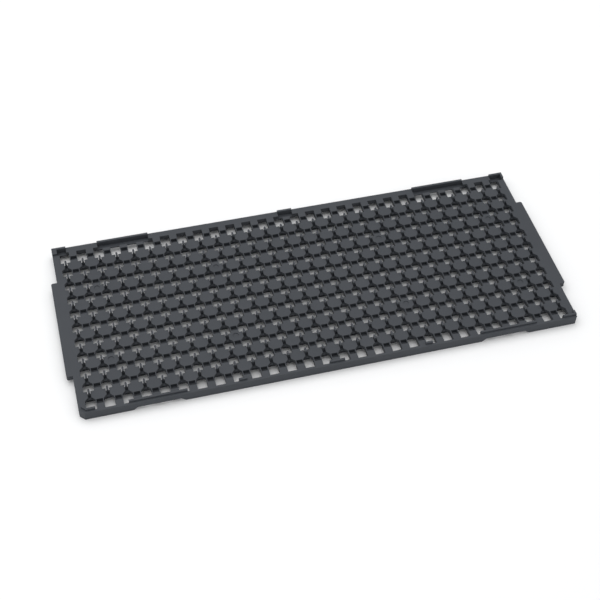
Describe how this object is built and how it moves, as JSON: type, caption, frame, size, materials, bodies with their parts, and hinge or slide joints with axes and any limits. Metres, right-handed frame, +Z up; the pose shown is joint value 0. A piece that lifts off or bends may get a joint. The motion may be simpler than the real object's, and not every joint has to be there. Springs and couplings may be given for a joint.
{
  "type": "ic matrix tray",
  "caption": "Flat black stacking tray with a grid of open pockets, locating posts, stacking lips and end tabs for carrying small leaded devices.",
  "frame": {"origin": "centre of the footprint at the resting plane", "axes": "+X along the tray's length, +Y from the front edge with the cut corner to the back edge, +Z up"},
  "size_m": [0.3226, 0.136, 0.0076],
  "materials": {
    "tray_plastic": "fine matte moulded black, carbon filled"
  },
  "bodies": {
    "root": {"matrix_tray": "tray_plastic"}
  },
  "joints": []
}
